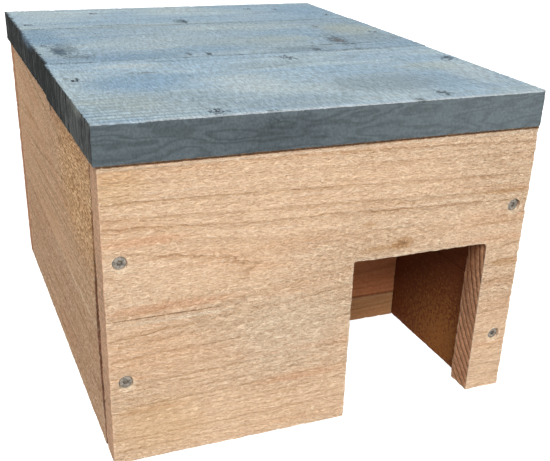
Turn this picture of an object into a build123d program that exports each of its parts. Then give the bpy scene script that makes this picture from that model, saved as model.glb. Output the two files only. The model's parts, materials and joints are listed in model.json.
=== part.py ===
"""Wooden hedgehog house: rough-sawn boards screwed into an open-bottomed box with a plank roof.

Lengths are millimetres. X runs along the front, Y from the front to the back and Z up. The origin
lies on the ground under the middle of the roof.
"""

import os

from build123d import *

# Wall boards: the front and the back are one wide board each, the sides are two narrower ones
house_width = 352.0
side_lower_width = 100.0
side_upper_width = 140.0
board_thickness = 25.0
arris = 0.8  # broken edge all round a board
butt_gap = 0.4  # open joint where a board's end meets the face of another

# Roof planks, laid left to right, whose widths set the depth of the house
front_plank_width = 186.0
middle_plank_width = 158.0
back_plank_width = 114.0
roof_thickness = 28.0
plank_gap = 0.5
front_overhang = 2.0
back_overhang = 17.0
long_end_overhang = 2.5  # the planks' ends don't line up: one end stands out by this much
short_end_overhang = 1.0  # and the other by this much
worn_corner_radius = 4.0  # rubbed off the roof's front right corner

# Entrance, cut out at the lower right of the front board
entrance_width = 122.0
entrance_height = 143.0
entrance_post_width = 34.0  # wood left standing on its right
entrance_corner_radius = 4.0  # left by the saw at the top right

# Inner cross wall, which stands behind the entrance and leaves a passage at its free end
partition_seam_distance = 7.0  # from the back of the cross wall to the roof seam behind it
partition_strip_height = 25.0
partition_middle_height = 100.0
passage_width = 122.0

# Countersunk screws, measured across their flats because they are made with few sides
screw_sides = 16
screw_head_diameter = 10.0
screw_shank_diameter = 5.0
screw_length = 60.0
screw_rim = 0.4  # straight edge of the head above its cone
screw_sink = 0.4  # depth of the head below the wood
screw_clearance = 0.1
recess_span = 5.0
recess_slot = 1.4
recess_depth = 2.2

# Where the screws sit, as shares of the board or plank that they hold
left_lower_screw_share, left_upper_screw_share = 0.72, 0.49
right_lower_screw_share, right_upper_screw_share = 0.54, 0.53
back_screw_share = 0.5
front_plank_side_screw_share = 0.67
middle_plank_side_screw_share = 0.5
back_plank_side_screw_share = 0.25
end_wall_screw_share = 0.25  # of the house's width, either side of the middle
partition_roof_screw_share = 0.3  # of the cross wall's length, from its free end

# Places worked out from the sizes above
wall_height = side_lower_width + side_upper_width
roof_depth = front_plank_width + middle_plank_width + back_plank_width + 2 * plank_gap
roof_front = -roof_depth / 2
front_face = roof_front + front_overhang
back_face = roof_depth / 2 - back_overhang
house_side = house_width / 2
side_middle = house_side - board_thickness / 2
side_front_end = front_face + board_thickness + butt_gap
side_back_end = back_face - board_thickness - butt_gap
entrance_right = house_side - entrance_post_width
entrance_middle = entrance_right - entrance_width / 2
partition_back = roof_front + front_plank_width - partition_seam_distance
partition_middle = partition_back - board_thickness / 2
partition_free_end = board_thickness + passage_width - house_side
partition_fixed_end = house_side - board_thickness - butt_gap
partition_length = partition_fixed_end - partition_free_end
middle_plank_front = roof_front + front_plank_width + plank_gap
back_plank_front = middle_plank_front + middle_plank_width + plank_gap

# Outer faces, each with its own X along the face, Y up the wall and Z outwards
front_plane = Plane(origin=(0, front_face, 0), x_dir=(1, 0, 0), z_dir=(0, -1, 0))
back_plane = Plane(origin=(0, back_face, 0), x_dir=(-1, 0, 0), z_dir=(0, 1, 0))
left_plane = Plane(origin=(-house_side, 0, 0), x_dir=(0, -1, 0), z_dir=(-1, 0, 0))
right_plane = Plane(origin=(house_side, 0, 0), x_dir=(0, 1, 0), z_dir=(1, 0, 0))
partition_plane = front_plane.offset(front_face + board_thickness - partition_back)
roof_plane = Plane.XY.offset(wall_height + roof_thickness)


def on_face(plane, along, up):
    """The place of a screw on a face, looking out of the wood."""
    return Plane(origin=plane.from_local_coords((along, up, 0)), x_dir=plane.x_dir, z_dir=plane.z_dir)


def up_lower(share):
    """The height of a screw in the lower side boards."""
    return share * side_lower_width


def up_upper(share):
    """The height of a screw in the upper side boards."""
    return side_lower_width + share * side_upper_width


# Screws by name
front_screws = {
    "front_screw_left_lower": on_face(front_plane, -side_middle, up_lower(left_lower_screw_share)),
    "front_screw_left_upper": on_face(front_plane, -side_middle, up_upper(left_upper_screw_share)),
    "front_screw_right_lower": on_face(front_plane, side_middle, up_lower(right_lower_screw_share)),
    "front_screw_right_upper": on_face(front_plane, side_middle, up_upper(right_upper_screw_share)),
}
back_screws = {
    f"back_screw_{side}_{level}": on_face(back_plane, along, up)
    for side, along in (("left", side_middle), ("right", -side_middle))
    for level, up in (("lower", up_lower(back_screw_share)), ("upper", up_upper(back_screw_share)))
}

plank_screw_rows = {
    "front": roof_front + front_plank_side_screw_share * front_plank_width,
    "middle": middle_plank_front + middle_plank_side_screw_share * middle_plank_width,
    "back": back_plank_front + back_plank_side_screw_share * back_plank_width,
}
roof_screws = {
    f"roof_screw_{plank}_plank_{side}": on_face(roof_plane, along, row)
    for plank, row in plank_screw_rows.items()
    for side, along in (("left", -side_middle), ("right", side_middle))
}
end_wall_screw = end_wall_screw_share * house_width
for wall, row in (("front", front_face + board_thickness / 2), ("back", back_face - board_thickness / 2)):
    roof_screws[f"roof_screw_{wall}_wall_left"] = on_face(roof_plane, -end_wall_screw, row)
    roof_screws[f"roof_screw_{wall}_wall_right"] = on_face(roof_plane, end_wall_screw, row)
roof_screws["roof_screw_partition"] = on_face(
    roof_plane,
    partition_free_end + partition_roof_screw_share * partition_length,
    partition_middle,
)

partition_middle_top = partition_strip_height + partition_middle_height
partition_levels = {
    "partition_strip": (0, partition_strip_height),
    "partition_middle_board": (partition_strip_height, partition_middle_top),
    "partition_top_board": (partition_middle_top, wall_height),
}
partition_screws = {
    f"{name}_screw": on_face(right_plane, partition_middle, (low + high) / 2)
    for name, (low, high) in partition_levels.items()
}


def screw_form(top, sink, growth):
    """The outside of a screw whose head starts this deep below the plane, grown all round."""
    cone_height = (screw_head_diameter - screw_shank_diameter) / 2
    with BuildPart() as form:
        with BuildSketch(top):
            RegularPolygon(screw_head_diameter / 2 + growth, screw_sides, major_radius=False)
        extrude(amount=-sink - screw_rim - cone_height)
        head_bottom = form.faces().sort_by(Axis(top.origin, top.z_dir))[0]
        chamfer(head_bottom.edges(), length=cone_height)
        with BuildSketch(top):
            RegularPolygon(screw_shank_diameter / 2 + growth, screw_sides, major_radius=False)
        extrude(amount=-sink - screw_length - growth)
    return form.part


def countersunk_hole(place):
    """The hole of a screw, from the face of the wood down to its tip."""
    return screw_form(place, screw_sink, screw_clearance)


def countersunk_screw(place):
    """A wood screw with a flat head, a cross recess and a plain shank, driven in at this place."""
    head_plane = place.offset(-screw_sink)
    with BuildPart() as screw:
        add(screw_form(head_plane, 0, 0))
        with BuildSketch(head_plane):
            Rectangle(recess_span, recess_slot)
            Rectangle(recess_slot, recess_span)
        extrude(amount=-recess_depth, mode=Mode.SUBTRACT)
    return screw.part


def plain_board(plane, start, end, low, high, thickness, holes):
    """A square-cut board seen from outside, with broken arrises and the holes of its screws."""
    with BuildPart() as board:
        with BuildSketch(plane):
            with Locations(((start + end) / 2, (low + high) / 2)):
                Rectangle(end - start, high - low)
        extrude(amount=-thickness)
        chamfer(board.edges(), length=arris)
        add(holes, mode=Mode.SUBTRACT)
    return board.part


def save(part, name):
    """Labels a finished piece and writes it as its own file."""
    part.label = name
    export_step(part, f"parts/{name}.step")


os.makedirs("parts", exist_ok=True)
end_holes = [countersunk_hole(place) for place in {**front_screws, **back_screws}.values()]
roof_holes = [countersunk_hole(place) for place in roof_screws.values()]
partition_holes = [countersunk_hole(place) for place in partition_screws.values()]

# Front wall, with the entrance sawn out of its lower edge
with BuildPart() as front_board:
    with BuildSketch(front_plane):
        with Locations((0, wall_height / 2)):
            Rectangle(house_width, wall_height)
        with Locations((entrance_middle, 0)):
            Rectangle(entrance_width, 2 * entrance_height, mode=Mode.SUBTRACT)
        fillet(
            vertices().sort_by_distance((entrance_right, entrance_height, 0))[0],
            radius=entrance_corner_radius,
        )
    extrude(amount=-board_thickness)
    chamfer(front_board.edges(), length=arris)
    add(end_holes + roof_holes, mode=Mode.SUBTRACT)
save(front_board.part, "front_board")

# Back wall
back_board = plain_board(
    back_plane, -house_side, house_side, 0, wall_height, board_thickness, end_holes + roof_holes
)
save(back_board, "back_board")

# Side walls, a lower and an upper board each
for level, low, high in (("lower", 0, side_lower_width), ("upper", side_lower_width, wall_height)):
    left_board = plain_board(
        left_plane, -side_back_end, -side_front_end, low, high, board_thickness, end_holes + roof_holes
    )
    save(left_board, f"left_{level}_board")
    right_board = plain_board(
        right_plane,
        side_front_end,
        side_back_end,
        low,
        high,
        board_thickness,
        end_holes + roof_holes + partition_holes,
    )
    save(right_board, f"right_{level}_board")

# Inner cross wall
for name, (low, high) in partition_levels.items():
    cross_board = plain_board(
        partition_plane,
        partition_free_end,
        partition_fixed_end,
        low,
        high,
        board_thickness,
        roof_holes + partition_holes,
    )
    save(cross_board, name)

# Roof, whose front plank has a worn corner
with BuildPart() as roof_front_plank:
    plank_left = -house_side - long_end_overhang
    plank_right = house_side + short_end_overhang
    with BuildSketch(roof_plane):
        with Locations(((plank_left + plank_right) / 2, roof_front + front_plank_width / 2)):
            Rectangle(plank_right - plank_left, front_plank_width)
        fillet(vertices().sort_by_distance((plank_right, roof_front, 0))[0], radius=worn_corner_radius)
    extrude(amount=-roof_thickness)
    chamfer(roof_front_plank.edges(), length=arris)
    add(roof_holes, mode=Mode.SUBTRACT)
save(roof_front_plank.part, "roof_front_plank")

for name, front, width, right_overhang in (
    ("roof_middle_plank", middle_plank_front, middle_plank_width, long_end_overhang),
    ("roof_back_plank", back_plank_front, back_plank_width, short_end_overhang),
):
    roof_plank = plain_board(
        roof_plane,
        -house_side - short_end_overhang,
        house_side + right_overhang,
        front,
        front + width,
        roof_thickness,
        roof_holes,
    )
    save(roof_plank, name)

# Screws
for name, place in {**front_screws, **back_screws, **roof_screws, **partition_screws}.items():
    save(countersunk_screw(place), name)
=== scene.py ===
"""Finish of a wooden hedgehog house: rough-sawn boards, a stained plank roof, screws and a studio."""

import json
import math
import random
from functools import partialmethod
from itertools import starmap
from typing import NamedTuple

import bmesh
import bpy
from bpy.props import FloatProperty, FloatVectorProperty, IntProperty, PointerProperty
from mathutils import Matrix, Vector


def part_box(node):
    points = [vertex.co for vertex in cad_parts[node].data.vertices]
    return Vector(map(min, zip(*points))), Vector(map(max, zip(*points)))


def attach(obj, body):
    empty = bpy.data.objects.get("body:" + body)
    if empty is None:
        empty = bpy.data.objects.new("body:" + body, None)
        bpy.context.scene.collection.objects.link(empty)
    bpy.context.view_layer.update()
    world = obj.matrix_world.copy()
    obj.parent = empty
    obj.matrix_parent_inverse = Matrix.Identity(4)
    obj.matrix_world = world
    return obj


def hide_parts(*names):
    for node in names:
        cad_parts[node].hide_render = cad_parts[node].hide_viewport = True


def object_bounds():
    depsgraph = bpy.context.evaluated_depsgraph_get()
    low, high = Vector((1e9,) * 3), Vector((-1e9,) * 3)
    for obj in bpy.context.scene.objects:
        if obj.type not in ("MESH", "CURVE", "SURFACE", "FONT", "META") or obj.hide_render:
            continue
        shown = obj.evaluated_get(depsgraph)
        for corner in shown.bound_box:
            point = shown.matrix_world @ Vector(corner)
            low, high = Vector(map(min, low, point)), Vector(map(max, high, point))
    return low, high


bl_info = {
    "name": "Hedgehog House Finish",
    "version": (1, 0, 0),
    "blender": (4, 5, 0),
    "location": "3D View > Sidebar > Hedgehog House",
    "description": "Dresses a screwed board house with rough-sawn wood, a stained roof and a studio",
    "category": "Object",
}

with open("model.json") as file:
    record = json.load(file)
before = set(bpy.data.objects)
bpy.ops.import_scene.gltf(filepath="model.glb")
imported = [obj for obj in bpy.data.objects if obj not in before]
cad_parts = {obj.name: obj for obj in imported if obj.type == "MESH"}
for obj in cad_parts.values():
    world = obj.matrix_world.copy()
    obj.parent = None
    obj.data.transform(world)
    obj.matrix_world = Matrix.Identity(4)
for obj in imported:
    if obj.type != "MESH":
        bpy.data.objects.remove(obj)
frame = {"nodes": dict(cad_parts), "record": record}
cad_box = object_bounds()

# Places taken from the frame
GROUND = cad_box[0][2]
ROOF_FRONT = cad_box[0][1]
ROOF_TOP = cad_box[1][2]
FRONT_LOW, FRONT_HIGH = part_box("front_board")
FRONT_FACE = FRONT_LOW.y
LEFT_FACE = FRONT_LOW.x
RIGHT_INNER_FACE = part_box("right_upper_board")[0].x
STRIP_LOW, STRIP_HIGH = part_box("partition_strip")
OPENING_CLEARANCE = 0.0015
ENTRANCE = next(o for o in frame["record"]["physics"]["openings"] if o["name"] == "entrance")["box_m"]
ENTRANCE_LEFT = ENTRANCE[0][0] - OPENING_CLEARANCE
ENTRANCE_RIGHT = ENTRANCE[1][0] + OPENING_CLEARANCE
ENTRANCE_TOP = ENTRANCE[1][2] + OPENING_CLEARANCE
SCREW_NODES = sorted(name for name in frame["nodes"] if "screw" in name)
FRONT_SCREWS = [
    ((low.x + high.x) / 2, (low.z + high.z) / 2)
    for low, high in (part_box(name) for name in SCREW_NODES if name.startswith("front"))
]
SCREW_FACINGS = {"front": (0, -1, 0), "back": (0, 1, 0), "roof": (0, 0, 1), "partition": (1, 0, 0)}

RAG = 1.5  # how far the edge of most marks is torn
CALM = 1.0  # the same for an even mark


class Mark(NamedTuple):
    """A ragged spot on a board, such as a knot, a smear or a drying crack."""

    centre: tuple
    size: tuple
    colour: tuple
    strength: float
    rag: float = RAG


class Cut(NamedTuple):
    """How a board was cut from its tree, and how it came off the saw."""

    axes: str  # axes along the grain, through the thickness and across the width
    pith: tuple  # middle of the tree, from the middle of the board: through it and across it
    lean: float  # how far the middle of the tree runs out per length of board
    seed: int
    tint: tuple  # share of the wood's red, green and blue
    ripple: float  # share of the torn fibres' height
    relief_shade_and_mottle: float  # share of painted shade in the hollows between the torn fibres and painted highlight on their crests; on the roof, strength of the stain's mottle
    grit: float  # how much darker and paler the coarse grains are
    voxel: float  # grain of the mesh
    marks: tuple = ()
    end_tint: tuple = (1.0, 1.0, 1.0)
    rough: Mark = None  # where the grit is strongest


def front_mark(x, z, length, width, colour, strength, rag=RAG, depth=0.01):
    """A mark on the face of the front board."""
    return Mark((x, FRONT_FACE, z), (length, depth, width), colour, strength, rag)


def left_mark(y, z, length, width, colour, strength, rag=RAG, depth=0.004):
    """A mark on the left side."""
    return Mark((LEFT_FACE, y, z), (depth, length, width), colour, strength, rag)


def roof_mark(x, y, length, width, colour, strength, rag=RAG, depth=0.01):
    """A mark on the top of the roof."""
    return Mark((x, y, ROOF_TOP), (length, width, depth), colour, strength, rag)


# Colours of the marks
KNOT_BROWN = (0.22, 0.095, 0.035)
SMEAR_BROWN = (0.55, 0.27, 0.1)
RESIN_YELLOW = (0.74, 0.46, 0.2)
# painted shadow under the roof's edge, and a dark line at a joint
SHADOW_AND_JOINT_BROWN = (0.2, 0.09, 0.04)
BLUSH_PINK = (0.8, 0.42, 0.24)
# pale wood, and painted highlight on lit edges
PALE_WOOD_AND_HIGHLIGHT = (0.85, 0.66, 0.48)
HIGHLIGHT_PALE = (1.0, 0.78, 0.55)
GOLDEN = (0.86, 0.52, 0.22)
GOLD_SPECK = (0.52, 0.25, 0.06)
# painted shade on the inner face of the right wall, which lies in shade inside the house
INNER_SHADE_RED = (0.195, 0.043, 0.0085)
# painted shade in the open joint behind the front board
GAP_SHADE_RED = (0.2, 0.07, 0.035)
JAMB_SHADE = (0.3, 0.1, 0.04)
END_BLUSH = (0.95, 0.6, 0.38)
STAIN_DARK = (0.03, 0.035, 0.04)
STAIN_BROWN = (0.145, 0.145, 0.13)
STAIN_YELLOW = (0.58, 0.63, 0.54)
STAIN_BLUE = (0.32, 0.475, 0.63)
STAIN_GREY = (0.36, 0.46, 0.53)
STAIN_PALE = (0.64, 0.73, 0.75)
STAIN_KNOT = (0.105, 0.155, 0.205)
STAIN_RUST = (0.2, 0.155, 0.11)
STAIN_RUBBED = (0.76, 0.84, 0.88)

# Marks, each list in the order in which they are laid on
HOLE_HIGHLIGHT = 0.0085  # reach of the painted highlight on the lower lip of a screw's countersink
HOLE_HIGHLIGHT_DROP = 0.0014
FRONT_MARKS = (
    *starmap(front_mark, (
        (-0.03, 0.09, 0.06, 0.045, PALE_WOOD_AND_HIGHLIGHT, 0.35),
        (-0.128, 0.13, 0.07, 0.006, BLUSH_PINK, 0.5),
        (-0.15, 0.183, 0.05, 0.006, BLUSH_PINK, 0.4),
        (-0.02, 0.05, 0.05, 0.006, BLUSH_PINK, 0.4),
        (-0.14, 0.03, 0.05, 0.03, RESIN_YELLOW, 0.25),
        (0.061, 0.154, 0.013, 0.007, SMEAR_BROWN, 0.6),
        (0.061, 0.1545, 0.006, 0.0035, KNOT_BROWN, 0.65, 2.5),
        (0.042, 0.152, 0.024, 0.004, SMEAR_BROWN, 0.45),
        (0.03, 0.173, 0.01, 0.003, SMEAR_BROWN, 0.4),
        (-0.165, 0.225, 0.03, 0.02, RESIN_YELLOW, 0.3),
        (0.164, 0.123, 0.02, 0.005, SMEAR_BROWN, 0.5),
        (-0.136, 0.1235, 0.065, 0.0008, KNOT_BROWN, 0.75),
        (-0.125, 0.1195, 0.06, 0.0022, PALE_WOOD_AND_HIGHLIGHT, 0.7),
        (0.155, 0.188, 0.032, 0.0028, SMEAR_BROWN, 0.4),
        (0.15, 0.161, 0.035, 0.0016, SMEAR_BROWN, 0.35),
        (-0.145, 0.045, 0.04, 0.004, SMEAR_BROWN, 0.3),
    )),
    Mark((LEFT_FACE, -0.214, 0.12), (0.0016, 0.03, 0.5), END_BLUSH, 0.85),
    # Painted highlight on the lower lip of each screw's countersink, lit from above
    *(
        front_mark(x, z - HOLE_HIGHLIGHT_DROP, HOLE_HIGHLIGHT, HOLE_HIGHLIGHT, HIGHLIGHT_PALE, 0.9, 0.5)
        for x, z in FRONT_SCREWS
    ),
    Mark((ENTRANCE_RIGHT, FRONT_HIGH.y, ENTRANCE_TOP), (0.003, 0.024, 0.09), JAMB_SHADE, 0.6, 0.3),
    # Painted highlight on the top edge of the front board, and just above it a painted shadow under the roof
    front_mark(0, 0.236, 0.6, 0.0012, PALE_WOOD_AND_HIGHLIGHT, 0.6, depth=0.003),
    front_mark(0, 0.2385, 0.6, 0.0012, SHADOW_AND_JOINT_BROWN, 0.9, depth=0.004),
)
FRONT_PLANK_MARKS = (
    *starmap(roof_mark, (
        (-0.11, -0.185, 0.08, 0.05, STAIN_GREY, 0.45, CALM),
        (-0.12, -0.12, 0.06, 0.042, STAIN_BLUE, 0.85, CALM),
        (0.065, -0.172, 0.075, 0.04, STAIN_GREY, 0.8, CALM),
        (-0.03, -0.208, 0.08, 0.025, STAIN_GREY, 0.6, CALM),
        (0.0, -0.088, 0.06, 0.018, STAIN_GREY, 0.5, CALM),
        (-0.04, -0.15, 0.04, 0.04, STAIN_PALE, 0.6, CALM),
        (-0.115, -0.065, 0.04, 0.012, STAIN_PALE, 0.7, CALM),
        (0.155, -0.15, 0.03, 0.06, STAIN_PALE, 0.6, CALM),
        (0.13, -0.125, 0.04, 0.02, STAIN_YELLOW, 0.3, CALM),
        (-0.15, -0.18, 0.05, 0.035, STAIN_YELLOW, 0.3, CALM),
        (-0.155, -0.226, 0.03, 0.006, STAIN_BLUE, 0.7, CALM, 0.002),
        (0.06, ROOF_FRONT, 0.4, 0.005, STAIN_RUBBED, 0.65, 0.8, 0.0012),
        (0.11, -0.047, 0.065, 0.0012, STAIN_DARK, 0.7),
        (0.11, -0.052, 0.065, 0.002, STAIN_PALE, 0.8),
        (-0.108, -0.092, 0.016, 0.004, STAIN_BROWN, 0.5, 3.0),
        (-0.162, -0.1016, 0.0022, 0.006, STAIN_DARK, 0.9),
        (-0.17, -0.098, 0.004, 0.008, STAIN_DARK, 0.4, 5.0),
        (-0.0906, -0.2195, 0.006, 0.008, STAIN_DARK, 0.6, 5.0),
        (-0.0516, -0.2275, 0.005, 0.006, STAIN_DARK, 0.45, 5.0),
        (0.064, -0.2275, 0.005, 0.005, STAIN_DARK, 0.7, 3.0, 0.003),
        (0.0926, -0.2148, 0.007, 0.01, STAIN_DARK, 0.7, 5.0),
        (0.167, -0.0974, 0.008, 0.01, STAIN_DARK, 0.75, 5.0),
        (0.0271, -0.0631, 0.007, 0.01, STAIN_DARK, 0.75, 5.0),
    )),
    Mark((-0.05, ROOF_FRONT, 0.252), (0.06, 0.006, 0.015), STAIN_DARK, 0.25, 2.0),
)
MIDDLE_PLANK_MARKS = tuple(starmap(roof_mark, (
    (-0.162, 0.07, 0.025, 0.06, STAIN_BLUE, 0.7, CALM),
    (-0.1, -0.032, 0.07, 0.016, STAIN_BLUE, 0.7, CALM),
    (0.055, -0.03, 0.045, 0.014, STAIN_GREY, 0.85, CALM),
    (0.15, 0.008, 0.045, 0.03, STAIN_GREY, 0.6, CALM),
    (-0.06, 0.035, 0.1, 0.045, STAIN_PALE, 0.3, CALM),
    (0.03, 0.015, 0.08, 0.035, STAIN_YELLOW, 0.35, CALM),
    (0.145, 0.055, 0.04, 0.045, STAIN_YELLOW, 0.55, CALM),
    (-0.152, 0.014, 0.017, 0.036, STAIN_KNOT, 0.45, 2.0),
    (-0.158, 0.004, 0.009, 0.022, STAIN_KNOT, 0.8, 2.0),
    (-0.145, -0.02, 0.014, 0.012, STAIN_BROWN, 0.45, 5.0),
    (0.108, 0.002, 0.014, 0.034, STAIN_KNOT, 0.6, 4.0),
    (0.107, 0.001, 0.007, 0.016, STAIN_RUST, 0.6, 3.0),
    (0.092, 0.03, 0.012, 0.02, STAIN_BLUE, 0.6, 2.5),
    (0.1, -0.018, 0.05, 0.0022, STAIN_DARK, 0.7),
    (-0.0515, -0.03, 0.003, 0.009, STAIN_DARK, 0.55, 3.0),
    (-0.0345, -0.034, 0.0035, 0.008, STAIN_DARK, 0.8, 3.0),
    (0.067, -0.036, 0.007, 0.006, STAIN_DARK, 0.6, 4.0),
    (0.117, 0.075, 0.004, 0.006, STAIN_BROWN, 0.6, 3.0),
)))
BACK_PLANK_MARKS = tuple(starmap(roof_mark, (
    (0.15, 0.18, 0.05, 0.06, STAIN_BLUE, 0.5, CALM),
    (-0.12, 0.19, 0.06, 0.035, STAIN_PALE, 0.3, CALM),
    (-0.011, 0.134, 0.01, 0.016, STAIN_KNOT, 0.5, 3.0),
    (-0.0079, 0.1315, 0.0035, 0.01, STAIN_DARK, 0.65, 4.0),
    (-0.09, 0.125, 0.035, 0.002, STAIN_DARK, 0.5),
    (0.118, 0.19, 0.003, 0.007, STAIN_DARK, 0.6, 3.0),
    (0.0, 0.118, 0.4, 0.003, STAIN_KNOT, 0.15, CALM),
)))
# Painted shade on the side boards' front ends, in the open joint behind the front board
GAP_SHADE_MARK = Mark((-0.1735, -0.198, 0.105), (0.005, 0.0095, 0.09), GAP_SHADE_RED, 0.95)
ROUGH_CORNER = left_mark(-0.15, 0.2, 0.12, 0.075, GOLDEN, 0.42, depth=0.02)
UPPER_LEFT_MARKS = (
    *starmap(left_mark, (
        (0.05, 0.118, 0.16, 0.0025, SMEAR_BROWN, 0.42, CALM),
        (-0.1, 0.125, 0.11, 0.002, PALE_WOOD_AND_HIGHLIGHT, 0.5, CALM),
        (-0.02, 0.134, 0.15, 0.003, KNOT_BROWN, 0.22, CALM),
        (0.04, 0.148, 0.14, 0.0028, SMEAR_BROWN, 0.42, CALM),
        (0.0, 0.167, 0.17, 0.0035, KNOT_BROWN, 0.2, CALM),
        (0.09, 0.19, 0.12, 0.004, SMEAR_BROWN, 0.38, CALM),
    )),
    GAP_SHADE_MARK,
    ROUGH_CORNER,
    left_mark(0.09, 0.1005, 0.13, 0.003, SMEAR_BROWN, 0.4),
    # Painted highlight along the joint between the two left boards
    left_mark(-0.12, 0.1006, 0.1, 0.0022, HIGHLIGHT_PALE, 0.9, CALM),
    left_mark(-0.042, 0.236, 0.005, 0.01, STAIN_DARK, 0.85, depth=0.01),
)
LOWER_LEFT_MARKS = (
    *starmap(left_mark, (
        (0.0, 0.014, 0.2, 0.003, SMEAR_BROWN, 0.4, CALM),
        (0.06, 0.031, 0.16, 0.0025, KNOT_BROWN, 0.22, CALM),
        (-0.09, 0.04, 0.12, 0.002, PALE_WOOD_AND_HIGHLIGHT, 0.45, CALM),
        (-0.03, 0.052, 0.17, 0.0032, SMEAR_BROWN, 0.42, CALM),
        (0.1, 0.066, 0.14, 0.0025, KNOT_BROWN, 0.2, CALM),
        (-0.06, 0.078, 0.15, 0.003, SMEAR_BROWN, 0.38, CALM),
    )),
    GAP_SHADE_MARK,
    # Painted highlight on the lit top edge of the lower board
    left_mark(-0.12, 0.0995, 0.1, 0.0022, HIGHLIGHT_PALE, 0.9, CALM),
    left_mark(0.09, 0.0995, 0.13, 0.003, SMEAR_BROWN, 0.4),
    left_mark(-0.138, 0.09, 0.006, 0.006, SMEAR_BROWN, 0.4, depth=0.01),
)
INNER_MARKS = (
    # Painted shade: the inner face of the right wall made dark red-brown
    Mark((RIGHT_INNER_FACE, -0.12, 0.12), (0.012, 0.6, 0.6), INNER_SHADE_RED, 0.96),
    Mark((RIGHT_INNER_FACE, -0.17, 0.02), (0.012, 0.07, 0.05), GOLD_SPECK, 0.42, 6.0),
)
# Painted highlight on the top edge of the strip, and a dark line at the joint just above it
STRIP_MARKS = (Mark((0.05, STRIP_LOW.y, STRIP_HIGH.z - 0.0007), (0.4, 0.004, 0.0018), PALE_WOOD_AND_HIGHLIGHT, 0.9),)
MIDDLE_MARKS = (Mark((0.05, STRIP_LOW.y, STRIP_HIGH.z + 0.0015), (0.4, 0.004, 0.002), SHADOW_AND_JOINT_BROWN, 0.55),)

# Tints of the boards
FRESH = (1.0, 1.0, 1.0)
WARM = (0.88, 0.8, 0.73)
DULL = (0.74, 0.665, 0.615)
RUDDY = (0.82, 0.455, 0.3)
GLOWING = (0.68, 0.495, 0.34)
THICK = (0.83, 0.83, 0.83)
WEATHERED = (0.915, 0.91, 0.905)
SHADED_END = (0.35, 0.2, 0.14)

BOARDS = {
    "front_board": Cut("XYZ", (-0.1219, 0.033), 0.02, 1, FRESH, 1.45, 0.7, 0.07, 0.00135, FRONT_MARKS),
    "back_board": Cut("XYZ", (0.15, -0.02), -0.02, 2, FRESH, 0.9, 0.5, 0.06, 0.0022),
    "left_lower_board": Cut(
        "YXZ", (-0.07, -0.03), 0.03, 3, DULL, 1.1, 1.0, 0.3, 0.0018, LOWER_LEFT_MARKS, SHADED_END
    ),
    "left_upper_board": Cut(
        "YXZ", (-0.11, 0.03), -0.02, 4, WARM, 1.5, 1.0, 0.18, 0.0018,
        UPPER_LEFT_MARKS, SHADED_END, ROUGH_CORNER,
    ),
    "right_lower_board": Cut(
        "YXZ", (0.08, -0.02), 0.02, 5, WARM, 0.8, 0.6, 0.12, 0.0017, INNER_MARKS, SHADED_END
    ),
    "right_upper_board": Cut(
        "YXZ", (0.1, 0.04), -0.03, 6, WARM, 0.9, 0.6, 0.12, 0.0017, INNER_MARKS, SHADED_END
    ),
    "partition_strip": Cut("XYZ", (-0.06, 0.03), 0.02, 7, GLOWING, 0.5, 0.2, 0.05, 0.002, STRIP_MARKS),
    "partition_middle_board": Cut(
        "XYZ", (-0.09, 0.01), 0.04, 8, RUDDY, 0.5, 0.2, 0.05, 0.002, MIDDLE_MARKS
    ),
    "partition_top_board": Cut("XYZ", (-0.08, -0.02), -0.03, 9, RUDDY, 0.6, 0.2, 0.05, 0.002),
    "roof_front_plank": Cut(
        "XZY", (-0.12, 0.06), 0.02, 10, WEATHERED, 0.6, 0.3, 0.1, 0.0016, FRONT_PLANK_MARKS
    ),
    "roof_middle_plank": Cut(
        "XZY", (-0.09, -0.01), -0.03, 11, THICK, 0.6, 0.3, 0.1, 0.0018, MIDDLE_PLANK_MARKS
    ),
    "roof_back_plank": Cut(
        "XZY", (-0.1, 0.0), 0.02, 12, WEATHERED, 0.6, 0.24, 0.1, 0.0018, BACK_PLANK_MARKS
    ),
}


# Settings that a user can change

def colour_setting(name, description, default):
    """A colour that a user can change."""
    return FloatVectorProperty(
        name=name, description=description, subtype="COLOR", size=3, min=0, max=1, default=default
    )


def length_setting(name, description, default):
    """A length that a user can change."""
    return FloatProperty(name=name, description=description, unit="LENGTH", precision=4, default=default)


def share_setting(name, description, default):
    """A share or strength that a user can change."""
    return FloatProperty(name=name, description=description, min=0, default=default)


def place_setting(name, description, default):
    """A place that a user can change."""
    return FloatVectorProperty(name=name, description=description, subtype="TRANSLATION", default=default)


class HouseWood(bpy.types.PropertyGroup):
    """Colours and relief of the untreated boards."""

    early: colour_setting("Early wood", "Pale wood between the lines of the grain", (0.87, 0.61, 0.403))
    late: colour_setting("Late wood", "Lines of the grain on a face", (0.46, 0.245, 0.115))
    end_early: colour_setting("Early end grain", "Pale wood on a sawn end", (0.88, 0.455, 0.245))
    end_late: colour_setting("Late end grain", "Lines of the rings on a sawn end", (0.12, 0.032, 0.013))
    blush: colour_setting("Blush", "Pinkish bands in the wood", (0.8, 0.47, 0.28))
    # pale fibres and rubbed edges, and the painted highlight on the crests of the torn fibres
    fuzz_and_highlight: colour_setting("Fuzz", "Loose pale fibres and rubbed edges", (0.88, 0.7, 0.52))
    ring_spacing: length_setting("Ring spacing", "Distance between two lines of the rings", 0.00273)
    fibre_height: length_setting("Fibre height", "Height of the finest torn fibres", 0.0016)
    ripple_height: length_setting("Ripple height", "Height of the broader ripples left by the saw", 0.0004)
    chip_depth: length_setting("Chip depth", "Depth of the chips along the edges", 0.0009)


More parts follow.
